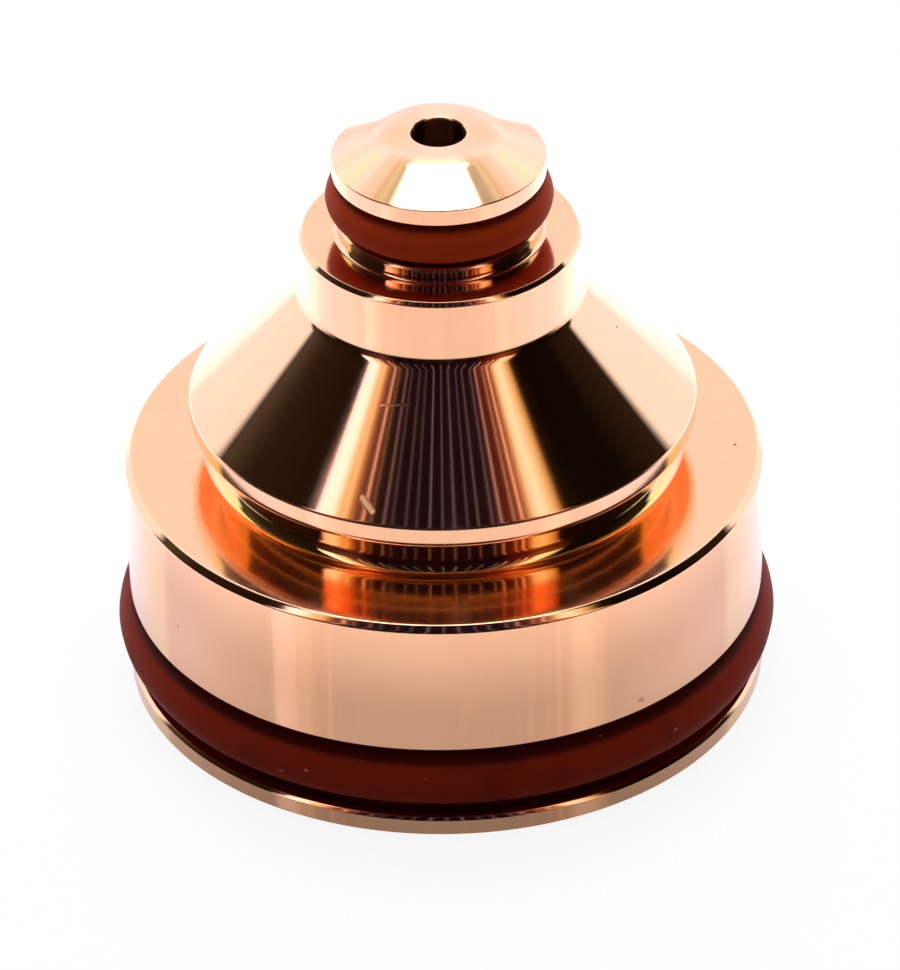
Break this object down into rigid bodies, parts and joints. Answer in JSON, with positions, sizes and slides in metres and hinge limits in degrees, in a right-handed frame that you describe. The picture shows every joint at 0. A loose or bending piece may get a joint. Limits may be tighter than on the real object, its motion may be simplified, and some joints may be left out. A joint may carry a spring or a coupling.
{
  "type": "plasma torch nozzle",
  "caption": "Turned copper nozzle for a plasma torch, with a grooved base, undercut coolant neck, cone, collar and a small grooved tip around a round orifice.",
  "frame": {"origin": "on the nozzle's axis, at its flat rear face", "axes": "+Z along the axis, from the rear face to the orifice"},
  "size_m": [0.0312, 0.0312, 0.0288],
  "materials": {
    "polished_copper": "polished",
    "seal_rubber": "satin"
  },
  "bodies": {
    "root": {"nozzle_body": "polished_copper", "base_sealing_ring": "seal_rubber", "tip_sealing_ring": "seal_rubber"}
  },
  "joints": []
}
